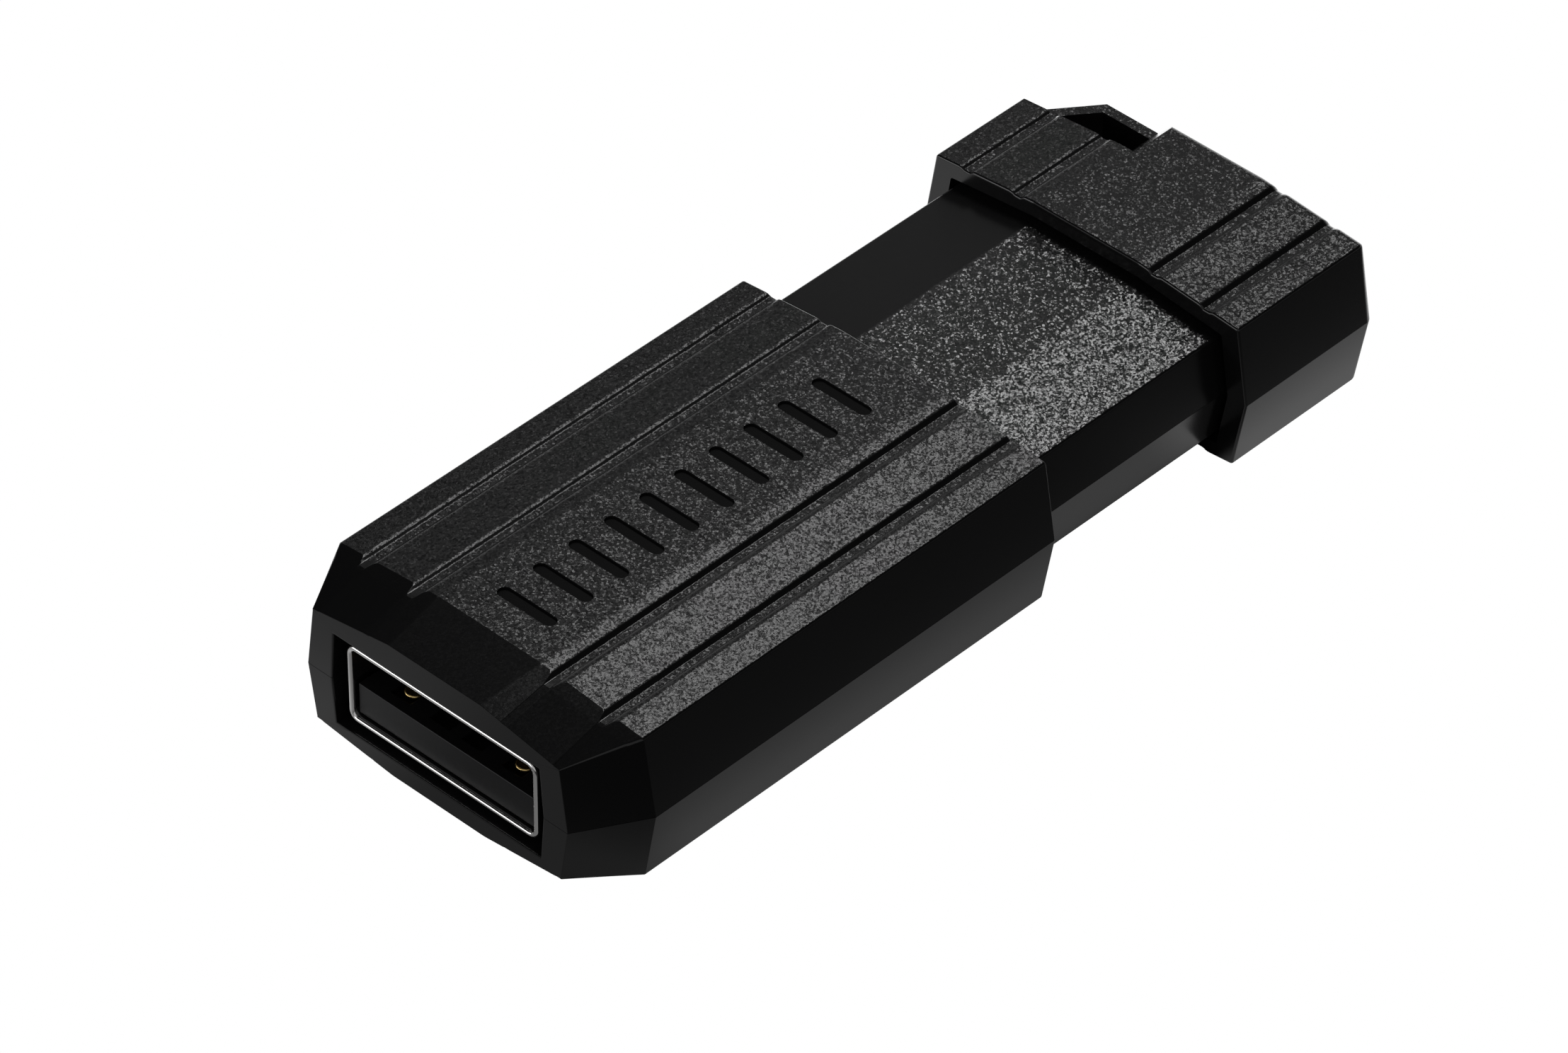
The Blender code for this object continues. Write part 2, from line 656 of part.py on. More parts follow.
def on_board(size, side):
    """Lowest and highest Z of a part soldered to the board's top (side 1) or bottom (side -1)."""
    if side > 0:
        return BOARD_TOP + STANDOFF, BOARD_TOP + STANDOFF + size[2]
    bottom = BOARD_TOP - BOARD_THICKNESS - STANDOFF
    return bottom - size[2], bottom


def block(bm, size, centre, side):
    x, y = centre
    x_range = (x - size[0] / 2, x + size[0] / 2)
    y_range = (y - size[1] / 2, y + size[1] / 2)
    return box(bm, x_range, y_range, on_board(size, side))


def gull_wing(bm, width, offset, body_edge, turn, centre, side, size):
    """Adds one bent lead: out of the package's flank, down to the board, and along it."""
    low, high = on_board(size, side)
    foot = low if side > 0 else high
    knee = (low + high) / 2
    t = LEAD_THICKNESS
    start = body_edge - LEAD_ROOT
    bend = body_edge + LEAD_BEND
    sole = foot + side * LEAD_FOOT_GAP
    tip = body_edge + LEAD_REACH
    path = [
        (start, knee),
        (bend, knee),
        (bend, sole),
        (tip, sole),
        (tip, sole + side * t),
        (bend + t, sole + side * t),
        (bend + t, knee + side * t),
        (start, knee + side * t),
    ]
    rotation = Matrix.Rotation(turn, 4, "Z")
    place = Matrix.Translation((centre[0], centre[1], 0.0)) @ rotation
    near = [bm.verts.new(place @ Vector((out, offset - width / 2, z))) for out, z in path]
    face = bm.faces.new(near)
    moved = bmesh.ops.extrude_face_region(bm, geom=[face])["geom"]
    far = [item for item in moved if isinstance(item, bmesh.types.BMVert)]
    bmesh.ops.translate(bm, verts=far, vec=rotation @ Vector((0.0, width, 0.0)))


def build_flash_memory(frame):
    centre = (0.0, FLASH_CENTRE_Y)
    chip = part("flash_memory_chip", block(bmesh.new(), FLASH_SIZE, centre, 1), CHIP_EPOXY, frame)
    leads = bmesh.new()
    for turn in (math.pi / 2, -math.pi / 2):
        for pin in range(FLASH_PINS_PER_END):
            offset = (pin - (FLASH_PINS_PER_END - 1) / 2) * FLASH_PITCH
            gull_wing(leads, FLASH_LEAD_WIDTH, offset, FLASH_SIZE[1] / 2, turn, centre, 1, FLASH_SIZE)
    bmesh.ops.recalc_face_normals(leads, faces=leads.faces)
    shape(chip, cutter("add_flash_memory_leads", leads, frame), operation="UNION")


def build_controller(frame):
    centre = (0.0, CONTROLLER_CENTRE_Y)
    chip = part("controller_chip", block(bmesh.new(), CONTROLLER_SIZE, centre, -1), CHIP_EPOXY, frame)
    leads = bmesh.new()
    for quarter in range(4):
        for pin in range(CONTROLLER_PINS_PER_SIDE):
            offset = (pin - (CONTROLLER_PINS_PER_SIDE - 1) / 2) * CONTROLLER_PITCH
            turn = quarter * math.pi / 2
            gull_wing(
                leads, CONTROLLER_LEAD_WIDTH, offset, CONTROLLER_SIZE[0] / 2, turn, centre, -1, CONTROLLER_SIZE
            )
    bmesh.ops.recalc_face_normals(leads, faces=leads.faces)
    shape(chip, cutter("add_controller_leads", leads, frame), operation="UNION")


def build_small_parts(frame):
    part("crystal", block(bmesh.new(), CRYSTAL_SIZE, CRYSTAL_CENTRE, 1), TIN, frame)
    bulk = block(bmesh.new(), BULK_CAPACITOR_SIZE, BULK_CAPACITOR_CENTRE, 1)
    part("bulk_capacitor", bulk, CERAMIC, frame)
    part("ferrite_bead", block(bmesh.new(), FERRITE_SIZE, FERRITE_CENTRE, 1), FERRITE, frame)
    for number, centre in enumerate(CHIP_CAPACITOR_CENTRES, 1):
        capacitor = block(bmesh.new(), CHIP_CAPACITOR_SIZE, centre, -1)
        part(f"chip_capacitor_{number}", capacitor, CERAMIC, frame)
    for number, centre in enumerate(CHIP_RESISTOR_CENTRES, 1):
        resistor = block(bmesh.new(), CHIP_RESISTOR_SIZE, centre, -1)
        part(f"chip_resistor_{number}", resistor, FERRITE, frame)


clear_scene()
PARTS = new_collection("usb_flash_drive")
CUTTERS = new_collection("cutters")
sleeve_frame = new_frame("sleeve_frame")
slider_frame = new_frame("slider_frame")
build_sleeve(sleeve_frame)
build_slider_casing(slider_frame)
build_rear_grip(slider_frame)
build_plug_shell(slider_frame)
build_plug_insulator(slider_frame)
build_contacts(slider_frame)
build_board(slider_frame)
build_flash_memory(slider_frame)
build_controller(slider_frame)
build_small_parts(slider_frame)
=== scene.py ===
"""Looks for a USB flash drive whose plug slides out of a short sleeve.

The casings and the plug are built here as fine meshes that stand for the plain CAD nodes; the
parts on the circuit board keep their CAD meshes and are only given materials. Shapes are drawn in
millimetres in a design frame: X across the drive, Y from the sleeve's front face towards the grip,
Z up from the plug's centre line. to_part() carries them to the part frame, which is in metres.
"""

import math

import bmesh
import bpy
from mathutils import Matrix, Vector


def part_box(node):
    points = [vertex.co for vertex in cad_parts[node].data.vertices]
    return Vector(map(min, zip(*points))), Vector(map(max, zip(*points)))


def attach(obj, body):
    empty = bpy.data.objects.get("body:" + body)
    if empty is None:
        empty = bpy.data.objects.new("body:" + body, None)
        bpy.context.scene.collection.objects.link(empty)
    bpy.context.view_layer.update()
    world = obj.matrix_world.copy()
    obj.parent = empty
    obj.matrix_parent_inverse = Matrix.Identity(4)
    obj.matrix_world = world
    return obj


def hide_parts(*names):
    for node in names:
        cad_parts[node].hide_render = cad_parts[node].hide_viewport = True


MM = 0.001

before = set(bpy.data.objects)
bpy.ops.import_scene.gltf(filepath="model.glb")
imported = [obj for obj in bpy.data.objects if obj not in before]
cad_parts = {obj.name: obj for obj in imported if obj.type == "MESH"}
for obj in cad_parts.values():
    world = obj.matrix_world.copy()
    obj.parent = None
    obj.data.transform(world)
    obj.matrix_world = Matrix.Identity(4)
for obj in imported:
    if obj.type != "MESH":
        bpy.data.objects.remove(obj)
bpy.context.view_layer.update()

# ---- measures, in millimetres ----------------------------------------------------------------

BODY_FLOOR = 4.57
BODY_HALF_WIDTH = 10.22
SLEEVE_LENGTH = 29.50
NOSE_LENGTH = 3.45
GRIP_FRONT = 42.63
TOTAL_LENGTH = 51.77
CORE_FRONT = 15.50
CORE_REAR = 47.20
PARTING = -0.10
SEAM_HALF_GAP = 0.012

# Half of a casing outline: half widths of the middle panel, shoulder and waist, then heights of
# the middle panel and the shoulder above the plug's centre line
BODY_UP = (3.25, 9.52, 10.22, 4.65, 4.09)
BODY_DOWN = (3.25, 9.52, 10.22, 4.57, 4.01)
NOSE_UP = (2.90, 7.72, 8.18, 4.16, 3.38)
NOSE_DOWN = (2.90, 7.72, 8.18, 3.62, 3.10)
CORE_HALF = (3.25, 8.23, 8.77, 3.50, 2.96)
MOUTH = (3.00, 6.45, 6.65, 2.62, 2.62)

# Pinstripe grooves: (distance from the groove's middle, depth), from rim to floor
PINSTRIPES = (4.31, 7.54)
GROOVE_PROFILE = ((0.50, 0.0), (0.36, 0.03), (0.19, 0.135))
GROOVE_TRIM = 0.045
SHOULDER_TRIM = 0.14
END_ROUND = 0.11
FRONT_ROUND = 0.03

NOSE_WALL = 1.20
NOSE_BORE_INSET = 0.50
MOUTH_LIP = 0.10
BORE_FULL_FROM = 2.45
BORE_EDGE = 0.05
SLIDE_CLEARANCE = 0.28
TRAVEL = 12.90

# Travel lugs on the slider, and the blind slots in the sleeve that they run in
LUG_X = 5.90
LUG_HALF_WIDTH = 0.75
LUG_FRONT, LUG_REAR = 17.0, 19.0
LUG_HEIGHT = 0.45
LUG_ROOT = 0.5
SLOT_SIDE_GAP = 0.30
SLOT_END_GAP = 0.35
SLOT_ROOF_GAP = 0.22
SLOT_FLOOR = 2.4

# A plain row of round-ended bars on the upper shell
THUMB_BARS = 10
THUMB_BAR_FIRST = 5.7
THUMB_BAR_PITCH = 2.25
THUMB_BAR_ENDS = ((1.50, -90), (-1.30, 90))
THUMB_BAR_RADIUS = 0.36
THUMB_BAR_DEPTH = 0.12

CORE_WALL = 0.80
CORE_END_WALL = 0.90
CORE_ROUND = 0.10
CORE_WINDOW = (2.9, 6.30, 6.30, 2.55, 2.55)

# Cutters run this far past what they cut: a little, and past everything
MARGIN = 2
FAR = 20
TALL = 8

# Shading: a face is broad above this area over length, and faces this near in angle are one plane
BROAD = 0.11
FLAT = math.cos(math.radians(0.6))

NOSE_GRAIN = 0.18  # how much of the grain the nose keeps
BLACK = (0.006, 0.006, 0.0062)
EPOXY = (0.012, 0.012, 0.013)
TIN = (0.78, 0.78, 0.76)

# ---- meshes ----------------------------------------------------------------------------------

ORIGIN = Vector((0.0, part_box("sleeve_upper_shell")[0].y, BODY_FLOOR * MM))


def to_part(x, y, z):
    return Vector((x * MM, y * MM, z * MM)) + ORIGIN


def mesh_object(name, bm):
    """Makes an object of a bmesh drawn in millimetres."""
    for vert in bm.verts:
        vert.co = to_part(*vert.co)
    bmesh.ops.remove_doubles(bm, verts=bm.verts, dist=1e-7)
    bmesh.ops.recalc_face_normals(bm, faces=bm.faces)
    mesh = bpy.data.meshes.new(name)
    bm.to_mesh(mesh)
    bm.free()
    obj = bpy.data.objects.new(name, mesh)
    bpy.context.scene.collection.objects.link(obj)
    return obj


def flat_patches(bm):
    """Groups of faces that lie in one plane, and whether each group is broad, which is its area
    over its length."""
    patch_of = {}
    patches = []
    for seed in bm.faces:
        if seed in patch_of:
            continue
        members, queue = [seed], [seed]
        patch_of[seed] = len(patches)
        while queue:
            for edge in queue.pop().edges:
                if len(edge.link_faces) != 2:
                    continue
                for other in edge.link_faces:
                    if other not in patch_of and other.normal.dot(seed.normal) > FLAT:
                        patch_of[other] = len(patches)
                        members.append(other)
                        queue.append(other)
        corners = [vert.co for face in members for vert in face.verts]
        spans = [max(c[i] for c in corners) - min(c[i] for c in corners) for i in range(3)]
        reach = Vector(spans).length
        area = sum(face.calc_area() for face in members)
        patches.append(area / reach > BROAD * MM)
    return patch_of, patches


def fan(start, vert):
    """The faces round a corner that shade smoothly with the face start."""
    found, queue = {start}, [start]
    while queue:
        for edge in queue.pop().edges:
            if edge.smooth and vert in edge.verts:
                for other in edge.link_faces:
                    if other not in found:
                        found.add(other)
                        queue.append(other)
    return found


def shade(obj, smooth_angle=34.0):
    """Shades an object so that broad flat faces stay flat, and the turn is in the narrow faces of
    the roundings between them."""
    mesh = obj.data
    bm = bmesh.new()
    bm.from_mesh(mesh)
    bm.normal_update()
    patch_of, patches = flat_patches(bm)
    for edge in bm.edges:
        if len(edge.link_faces) == 2:
            turn = math.degrees(edge.calc_face_angle(0.0))
            one, two = (patch_of[face] for face in edge.link_faces)
            edge.smooth = turn < smooth_angle and (one == two or not (patches[one] and patches[two]))
    normals = []
    for face in bm.faces:
        face.smooth = True
        for loop in face.loops:
            if patches[patch_of[face]]:
                normals.append(face.normal.copy())
                continue
            around = fan(face, loop.vert)
            broad = [f for f in around if patches[patch_of[f]]]
            if broad:
                normals.append(max(broad, key=lambda f: f.normal.dot(face.normal)).normal.copy())
            else:
                normals.append(sum((f.normal * f.calc_area() for f in around), Vector()).normalized())
    bm.to_mesh(mesh)
    bm.free()
    mesh.normals_split_custom_set(normals)


def settle(obj):
    """Applies an object's modifiers to its mesh."""
    bpy.context.view_layer.update()
    evaluated = obj.evaluated_get(bpy.context.evaluated_depsgraph_get())
    mesh = bpy.data.meshes.new_from_object(evaluated)
    obj.modifiers.clear()
    obj.data = mesh
    return obj


def cut(obj, *tools, operation="DIFFERENCE"):
    """Applies Booleans of tools to an object, and removes the tools."""
    for tool in tools:
        modifier = obj.modifiers.new(tool.name, "BOOLEAN")
        modifier.operation = operation
        modifier.solver = "EXACT"
        modifier.object = tool
    settle(obj)
    for tool in tools:
        bpy.data.objects.remove(tool, do_unlink=True)
    return obj


def soften(obj, width, angle=35.0, segments=3):
    """Rounds an object's edges that are sharper than angle."""
    modifier = obj.modifiers.new("soften", "BEVEL")
    modifier.width = width * MM
    modifier.segments = segments
    modifier.limit_method = "ANGLE"
    modifier.angle_limit = math.radians(angle)
    modifier.use_clamp_overlap = True
    return settle(obj)


def add_box(bm, xs, ys, zs):
    low = Vector((min(xs), min(ys), min(zs)))
    high = Vector((max(xs), max(ys), max(zs)))
    place = Matrix.Translation((low + high) / 2) @ Matrix.Diagonal((*(high - low), 1.0))
    return bmesh.ops.create_cube(bm, size=1.0, matrix=place)


def add_prism(bm, points, low, high, axis):
    """Adds an outline extruded along X, Y or Z; points give the other two coordinates in order."""
    def at(point, level):
        values = list(point)
        values.insert(axis, level)
        return bm.verts.new(values)

    near = [at(point, low) for point in points]
    far = [at(point, high) for point in points]
    bm.faces.new(near)
    bm.faces.new(list(reversed(far)))
    for i, vert in enumerate(near):
        j = (i + 1) % len(near)
        bm.faces.new((vert, far[i], far[j], near[j]))


def add_rings(bm, rings, closed_rings, closed_loop):
    """Adds a skin through rings of equally many points: each ring closed or open, and the rings
    joined end to end or capped."""
    loops = [[bm.verts.new(point) for point in ring] for ring in rings]
    pairs = list(zip(loops, loops[1:])) + ([(loops[-1], loops[0])] if closed_loop else [])
    count = len(loops[0])
    for near, far in pairs:
        for i in range(count if closed_rings else count - 1):
            j = (i + 1) % count
            bm.faces.new((near[i], near[j], far[j], far[i]))
    if not closed_loop:
        bm.faces.new(loops[0])
        bm.faces.new(list(reversed(loops[-1])))
    if not closed_rings:
        bm.faces.new([loop[0] for loop in loops])
        bm.faces.new(list(reversed([loop[-1] for loop in loops])))


def trimmed(corners):
    """Points along a path of corners (x, z, trim, steps), each corner rounded over its trim."""
    points = []
    for i, (x, z, trim, steps) in enumerate(corners):
        here = Vector((x, z))
        if not trim or i in (0, len(corners) - 1):
            points.append(here)
            continue
        before = Vector(corners[i - 1][:2])
        after = Vector(corners[i + 1][:2])
        start = here + (before - here).normalized() * min(trim, (before - here).length * 0.45)
        end = here + (after - here).normalized() * min(trim, (after - here).length * 0.45)
        for step in range(steps + 1):
            t = step / steps
            points.append(start * (1 - t) ** 2 + here * 2 * t * (1 - t) + end * t * t)
    return points


def blended(a, b, t):
    return tuple(p + (q - p) * t for p, q in zip(a, b))


def inset(outline, amount):
    panel, shoulder_x, waist_x, roof, shoulder_z = outline
    return (panel, shoulder_x - amount, waist_x - amount, roof - amount, shoulder_z - amount)


def roof_at(outline, x):
    """Height of an outline's top over x."""
    panel, shoulder_x, _, roof, shoulder_z = outline
    run = max(0.0, abs(x) - panel) / (shoulder_x - panel)
    return roof + (shoulder_z - roof) * run


def groove_corners(outline, full, centre, lowered):
    """Corners of one groove from its outer rim to its inner rim. full is the outline it is cut in
    at full depth; outline is the one here, which is lower on the nose."""
    sunk = roof_at(full, centre) - roof_at(outline, centre) - lowered
    corners = []
    for half, depth in GROOVE_PROFILE:
        if depth < sunk:
            (h1, d1), (h2, d2) = next(
                (a, b) for a, b in zip(GROOVE_PROFILE, GROOVE_PROFILE[1:])
                if sunk <= b[1] or b is GROOVE_PROFILE[-1]
            )
            half = max(h2, h1 + (h2 - h1) * (sunk - d1) / (d2 - d1))
        corners.append((half, max(depth - max(sunk, 0.0), 0.0)))
    floor = roof_at(outline, centre) - corners[-1][1]
    found = []
    for sign, order in ((1, corners), (-1, reversed(corners))):
        for i, (half, depth) in enumerate(order):
            x = centre + sign * half
            at_floor = i == (2 if sign > 0 else 0)
            z = min(floor, roof_at(outline, x)) if at_floor else roof_at(outline, x) - depth
            found.append((x, z, GROOVE_TRIM, 2))
    return found


def half_outline(outline, side, grooved=None, lowered=0.0):
    """The points of a casing's half, from the seam at +X over the top to the seam at -X. side is 1
    above the parting line and -1 below it, where heights are counted downwards."""
    panel, shoulder_x, waist_x, roof, shoulder_z = outline
    seam = SEAM_HALF_GAP + side * PARTING
    right = [(waist_x, seam, 0, 0), (shoulder_x, shoulder_z, SHOULDER_TRIM, 5)]
    if grooved:
        for centre in reversed(PINSTRIPES):
            right += groove_corners(outline, grooved, centre, lowered)
    right.append((panel, roof, 0.10, 2))
    left = [(-x, z, trim, steps) for x, z, trim, steps in reversed(right)]
    return [(p.x, side * p.y) for p in trimmed(right + left)]


def like(outline, side, model, model_points):
    """Points round another outline, matched one to one to the points of a model outline."""
    seam = SEAM_HALF_GAP + side * PARTING
    found = []
    for x, z in model_points:
        hand = 1 if x > 0 else -1
        width, height = abs(x), side * z
        if height < model[4] - 1e-6 and width > model[0]:
            t = min(1.0, (height - seam) / (model[4] - seam))
            if width < model[1]:
                t = 1.0
            corner = (outline[1], outline[4])
            start = (outline[2], seam)
            px, pz = blended(start, corner, t)
        elif width > model[0]:
            t = min(1.0, (width - model[0]) / (model[1] - model[0]))
            px, pz = blended((outline[0], outline[3]), (outline[1], outline[4]), t)
        else:
            px, pz = outline[0] * width / model[0], outline[3]
        found.append((hand * px, side * pz))
    return found


def rounding(steps, radius):
    """(distance from the end, inset) along a quarter round, from the end face inwards."""
    return [
        (radius * (1 - math.sin(math.pi / 2 * step / steps)),
         radius * (1 - math.cos(math.pi / 2 * step / steps)))
        for step in range(steps + 1)
    ]


def ring_at(y, points):
    return [(x, y, z) for x, z in points]


def shell_half(name, side, body, nose, bore):
    """One half of the sleeve: a skin that runs along the outside and back through the bore."""
    rings = []
    for distance, amount in reversed(rounding(2, FRONT_ROUND)):
        here = blended(nose, body, distance / NOSE_LENGTH)
        rings.append((distance, inset(here, amount), 0.0))
    stops = set()
    for centre in PINSTRIPES:
        rise = (roof_at(body, centre) - roof_at(nose, centre)) / NOSE_LENGTH
        stops |= {NOSE_LENGTH - depth / rise for _, depth in GROOVE_PROFILE}
    for y in sorted(stops):
        rings.append((y, blended(nose, body, min(1.0, y / NOSE_LENGTH)), 0.0))
    for distance, amount in rounding(3, END_ROUND):
        rings.append((SLEEVE_LENGTH - distance, inset(body, amount), amount))
    outside = [ring_at(y, half_outline(o, side, body, low)) for y, o, low in rings]
    model = half_outline(body, side, body)
    mouth_back = inset(MOUTH, -0.02)
    nose_bore = inset(nose, NOSE_BORE_INSET)
    inner = [(0.0, inset(MOUTH, -MOUTH_LIP)), (0.03, inset(MOUTH, -0.03)), (MOUTH_LIP, MOUTH)]
    inner += [(NOSE_WALL, mouth_back), (NOSE_WALL, nose_bore), (BORE_FULL_FROM, bore)]
    inner += [(SLEEVE_LENGTH - BORE_EDGE, bore), (SLEEVE_LENGTH, inset(bore, -BORE_EDGE))]
    inside = [ring_at(y, like(o, side, body, model)) for y, o in reversed(inner)]
    bm = bmesh.new()
    add_rings(bm, outside + inside, closed_rings=False, closed_loop=True)
    return mesh_object(name, bm)


def guide_slots(side):
    """Blind slots inside the sleeve for the slider's travel lugs."""
    bm = bmesh.new()
    crest = roof_at(CORE_HALF, LUG_X) + LUG_HEIGHT + SLOT_ROOF_GAP
    half_width = LUG_HALF_WIDTH + SLOT_SIDE_GAP
    length = (LUG_FRONT - TRAVEL - SLOT_END_GAP, LUG_REAR + SLOT_END_GAP)
    for x in (-LUG_X, LUG_X):
        add_box(bm, (x - half_width, x + half_width), length, (side * crest, side * SLOT_FLOOR))
    return mesh_object("guide_slots", bm)


def thumb_bars():
    """A plain row of shallow bars, where the thumb pushes."""
    bm = bmesh.new()
    roof = BODY_UP[3]
    for index in range(THUMB_BARS):
        y = THUMB_BAR_FIRST + THUMB_BAR_PITCH * index
        points = []
        for end, start in THUMB_BAR_ENDS:
            for step in range(9):
                angle = math.radians(start + 180 * step / 8)
                across, along = THUMB_BAR_RADIUS * math.cos(angle), THUMB_BAR_RADIUS * math.sin(angle)
                points.append((end + across, y + along))
        add_prism(bm, points, roof - THUMB_BAR_DEPTH, roof + MARGIN, 2)
    return mesh_object("thumb_bars", bm)


# ---- materials -------------------------------------------------------------------------------


def new_group(name, inputs, outputs):
    group = bpy.data.node_groups.new(name, "ShaderNodeTree")
    for label, kind, default in inputs:
        socket = group.interface.new_socket(label, in_out="INPUT", socket_type=kind)
        if default is not None:
            socket.default_value = default
    for label, kind in outputs:
        group.interface.new_socket(label, in_out="OUTPUT", socket_type=kind)
    return group, group.nodes.new("NodeGroupInput"), group.nodes.new("NodeGroupOutput")


def math_node(tree, operation, a, b=None, clamp=False):
    node = tree.nodes.new("ShaderNodeMath")
    node.operation = operation
    node.use_clamp = clamp
    for socket, value in zip(node.inputs, (a, b)):
        if value is None:
            continue
        if isinstance(value, (int, float)):
            socket.default_value = value
        else:
            tree.links.new(value, socket)
    return node.outputs[0]


def ramp_node(tree, value, low, high, to_low=0.0, to_high=1.0, smooth=True):
    node = tree.nodes.new("ShaderNodeMapRange")
    node.interpolation_type = "SMOOTHSTEP" if smooth else "LINEAR"
    tree.links.new(value, node.inputs["Value"])
    for label, number in (("From Min", low), ("From Max", high), ("To Min", to_low), ("To Max", to_high)):
        node.inputs[label].default_value = number
    return node.outputs[0]


def vector_node(tree, operation, a, b=None, scale=None):
    node = tree.nodes.new("ShaderNodeVectorMath")
    node.operation = operation
    for socket, value in ((node.inputs[0], a), (node.inputs[1], b), (node.inputs[3], scale)):
        if value is None:
            continue
        if isinstance(value, (int, float, tuple)):
            socket.default_value = value
        else:
            tree.links.new(value, socket)
    return node.outputs["Vector"]


def grain_group():
    """Spark-eroded grain: a surface of tiny facets, each tilted its own way. Tilt is the spread of
    the slopes and Mask fades it out."""
    group, given, out = new_group(
        "eroded_grain",
        [
            ("Grains per metre", "NodeSocketFloat", 9000.0),
            ("Tilt", "NodeSocketFloat", 0.3),
            ("Mask", "NodeSocketFloat", 1.0),
        ],
        [("Normal", "NodeSocketVector")],
    )
    place = group.nodes.new("ShaderNodeTexCoord").outputs["Object"]
    normal = group.nodes.new("ShaderNodeNewGeometry").outputs["Normal"]
    tilt = None
    for share, fineness in ((0.62, 1.0), (0.38, 1.9)):
        cells = group.nodes.new("ShaderNodeTexVoronoi")
        group.links.new(place, cells.inputs["Vector"])
        scale = math_node(group, "MULTIPLY", given.outputs["Grains per metre"], fineness)
        group.links.new(scale, cells.inputs["Scale"])
        part = vector_node(group, "SUBTRACT", cells.outputs["Color"], (0.5, 0.5, 0.5))
        part = vector_node(group, "SCALE", part, scale=share)
        tilt = part if tilt is None else vector_node(group, "ADD", tilt, part)
    strength = math_node(group, "MULTIPLY", given.outputs["Tilt"], given.outputs["Mask"])
    tilt = vector_node(group, "SCALE", tilt, scale=strength)
    tilted = vector_node(group, "NORMALIZE", vector_node(group, "ADD", normal, tilt))
    group.links.new(tilted, out.inputs["Normal"])
    return group


GRAIN = grain_group()


def principled(name, colour, roughness, metallic=0.0, **constants):
    material = bpy.data.materials.new(name)
    material.use_nodes = True
    shader = material.node_tree.nodes["Principled BSDF"]
    shader.inputs["Base Color"].default_value = (*colour, 1.0)
    shader.inputs["Roughness"].default_value = roughness
    shader.inputs["Metallic"].default_value = metallic
    for label, value in constants.items():
        shader.inputs[label.replace("_", " ")].default_value = value
    return material, shader


def casing_material(name, grains, tilt, rough_grained, rough_plain, left_edge=None):
    """Black plastic: grained above and below, satin on the sides. With left_edge it is plain to the
    left of that X, with a lower specular level there as painted shade. Without, it is nearly plain on
    the sleeve's nose and plain in the thumb bars, whose floors get a lower specular level as painted
    shade in the recesses."""
    material, shader = principled(name, BLACK, rough_plain)
    tree = material.node_tree
    geometry = tree.nodes.new("ShaderNodeNewGeometry")
    split = tree.nodes.new("ShaderNodeSeparateXYZ")
    tree.links.new(geometry.outputs["Normal"], split.inputs[0])
    upright = math_node(tree, "ABSOLUTE", split.outputs["Z"])
    mask = ramp_node(tree, upright, 0.93, 0.975)
    place = tree.nodes.new("ShaderNodeSeparateXYZ")
    tree.links.new(tree.nodes.new("ShaderNodeTexCoord").outputs["Object"], place.inputs[0])
    if left_edge is None:
        edge = ORIGIN.y + NOSE_LENGTH * MM
        kept = ramp_node(tree, place.outputs["Y"], edge - 2e-5, edge + 2e-5, NOSE_GRAIN, 1.0)
        mask = math_node(tree, "MULTIPLY", mask, kept)
        top = (BODY_FLOOR + BODY_UP[3]) * MM
        height = math_node(tree, "SUBTRACT", place.outputs["Z"], top - 0.15 * MM)
        height = math_node(tree, "ABSOLUTE", height)
        beside = math_node(tree, "ABSOLUTE", place.outputs["X"])
        before = ramp_node(tree, place.outputs["Y"], edge + 0.5 * MM, edge)
        raised = math_node(tree, "MAXIMUM", ramp_node(tree, beside, 3.2 * MM, 3.4 * MM), before)
        raised = math_node(tree, "MAXIMUM", raised, ramp_node(tree, height, 0.09 * MM, 0.13 * MM))
        mask = math_node(tree, "MULTIPLY", mask, raised)
        # A lower specular level on the thumb bars' floors: painted shade in the recesses.
        tree.links.new(ramp_node(tree, raised, 0.0, 1.0, 0.12, 0.5), shader.inputs["Specular IOR Level"])
    else:
        kept = ramp_node(tree, place.outputs["X"], left_edge - 1e-4, left_edge + 1e-4)
        mask = math_node(tree, "MULTIPLY", mask, kept)
        # The specular level is lower where plain; left of left_edge this is painted shade on the core's
        # top.
        tree.links.new(ramp_node(tree, mask, 0.0, 1.0, 0.42, 0.85), shader.inputs["Specular IOR Level"])
    grain = tree.nodes.new("ShaderNodeGroup")
    grain.node_tree = GRAIN
    grain.inputs["Grains per metre"].default_value = grains
    grain.inputs["Tilt"].default_value = tilt
    tree.links.new(mask, grain.inputs["Mask"])
    tree.links.new(grain.outputs["Normal"], shader.inputs["Normal"])
    roughness = ramp_node(tree, mask, 0.0, 1.0, rough_plain, rough_grained, smooth=False)
    tree.links.new(roughness, shader.inputs["Roughness"])
    return material


SHELL = casing_material("grained_black_plastic", 10000.0, 0.31, 0.26, 0.21)
# Left of left_edge the core's top is plain with a lower specular level: painted shade on that side.
CORE = casing_material("coarse_grained_black_plastic", 9000.0, 0.35, 0.22, 0.21, left_edge=-3.3 * MM)
NICKEL, _ = principled("bright_nickel", (0.92, 0.91, 0.90), 0.16, 1.0)
# The nylon's low specular level is partly painted shade inside the plug.
NYLON_AND_SHADE, _ = principled("black_nylon_and_painted_shade", (0.005, 0.005, 0.0055), 0.35, Specular_IOR_Level=0.3)
GOLD, _ = principled("contact_gold", (0.90, 0.66, 0.28), 0.22, 1.0)


def dress(obj, material, body, nodes):
    shade(obj)
    obj.data.materials.clear()
    obj.data.materials.append(material)
    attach(obj, body)
    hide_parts(*nodes)
    return obj


# ---- sleeve ----------------------------------------------------------------------------------

